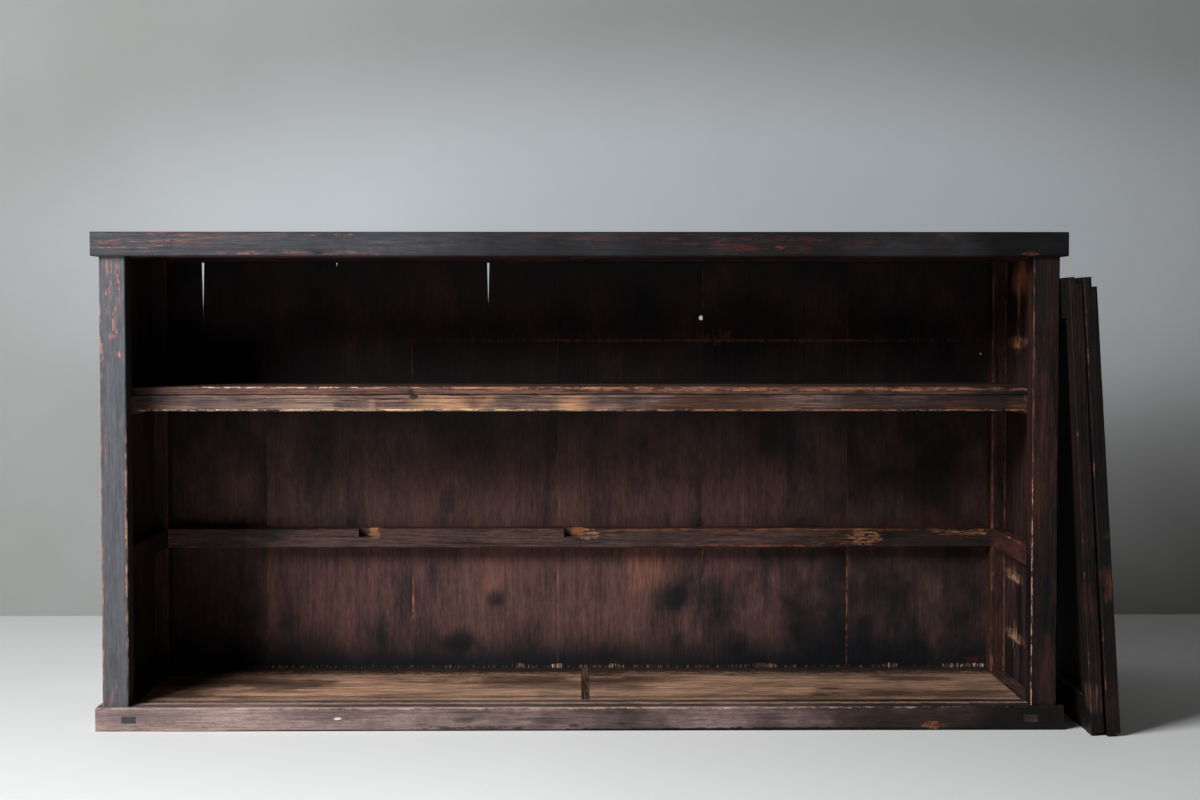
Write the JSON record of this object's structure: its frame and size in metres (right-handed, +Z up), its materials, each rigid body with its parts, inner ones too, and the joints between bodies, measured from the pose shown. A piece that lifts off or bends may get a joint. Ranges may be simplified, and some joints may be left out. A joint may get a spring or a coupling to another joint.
{
  "type": "tansu",
  "caption": "Low open-fronted tansu with an upper shelf, ledgers for a middle shelf and two sliding doors taken off and leaning on its side.",
  "frame": {"origin": "on the floor, in the middle of the case's footprint, on the floor joist's underside", "axes": "+X to the right as seen from the open front, +Y from the front to the back, +Z up"},
  "size_m": [1.9051, 0.8755, 0.932],
  "materials": {
    "sill_wood": "old stained wood, worn and pale on its edges, satin",
    "head_wood": "old stained wood with a worn front, satin",
    "post_wood": "old stained wood, satin",
    "base_wood": "stained wood, matt",
    "top_wood": "old stained wood, satin",
    "floor_wood": "bare unstained softwood, matt",
    "shelf_wood": "stained wood with worn tan edges, matt",
    "inner_rail_wood": "dark stained wood, matt",
    "back_wood": "dark stained softwood boards, matt",
    "side_wood": "dark stained softwood boards, matt",
    "door_frame_wood": "stained wood, worn on its edges, satin",
    "door_panel_wood": "dark stained thin boards, matt",
    "nail_iron": "dark hand-made iron"
  },
  "bodies": {
    "case": {"front_sill": "sill_wood", "rear_base_rail": "base_wood", "right_base_rail": "base_wood", "left_base_rail": "base_wood", "floor_joist": "base_wood", "floor_board_front_left": "floor_wood", "floor_board_front_right": "floor_wood", "floor_board_rear_left": "floor_wood", "floor_board_rear_right": "floor_wood", "front_right_post": "post_wood", "front_left_post": "post_wood", "rear_right_post": "post_wood", "rear_left_post": "post_wood", "head_rail": "head_wood", "rear_head_rail": "base_wood", "right_head_rail": "base_wood", "left_head_rail": "base_wood", "top_joist": "base_wood", "top_board_front": "top_wood", "top_board_rear": "top_wood", "right_side_board_front": "side_wood", "right_side_board_rear": "side_wood", "left_side_board_front": "side_wood", "left_side_board_rear": "side_wood", "right_mid_ledger": "inner_rail_wood", "left_mid_ledger": "inner_rail_wood", "rear_mid_ledger": "inner_rail_wood", "right_shelf_cleat": "inner_rail_wood", "left_shelf_cleat": "inner_rail_wood", "rear_shelf_cleat": "inner_rail_wood", "shelf_front_rail": "shelf_wood", "shelf_board_front": "shelf_wood", "shelf_board_rear": "shelf_wood", "back_board_1": "back_wood", "back_board_2": "back_wood", "back_board_3": "back_wood", "back_board_4": "back_wood", "back_board_5": "back_wood", "back_board_6": "back_wood", "back_board_nails": "nail_iron"},
    "front_door": {"front_door_left_stile": "door_frame_wood", "front_door_right_stile": "door_frame_wood", "front_door_top_rail": "door_frame_wood", "front_door_bottom_rail": "door_frame_wood", "front_door_panel_board_1": "door_panel_wood", "front_door_panel_board_2": "door_panel_wood", "front_door_panel_board_3": "door_panel_wood", "front_door_battens": "door_panel_wood"},
    "rear_door": {"rear_door_left_stile": "door_frame_wood", "rear_door_right_stile": "door_frame_wood", "rear_door_top_rail": "door_frame_wood", "rear_door_bottom_rail": "door_frame_wood", "rear_door_panel_board_1": "door_panel_wood", "rear_door_panel_board_2": "door_panel_wood", "rear_door_panel_board_3": "door_panel_wood", "rear_door_battens": "door_panel_wood"}
  },
  "joints": [
    {"name": "front_door_slide", "type": "slide", "parent": "case", "child": "front_door", "axis": [0, -1, 0], "range_m": [0, 0.3]},
    {"name": "rear_door_slide", "type": "slide", "parent": "case", "child": "rear_door", "axis": [0, -1, 0], "range_m": [0, 0.3]}
  ]
}
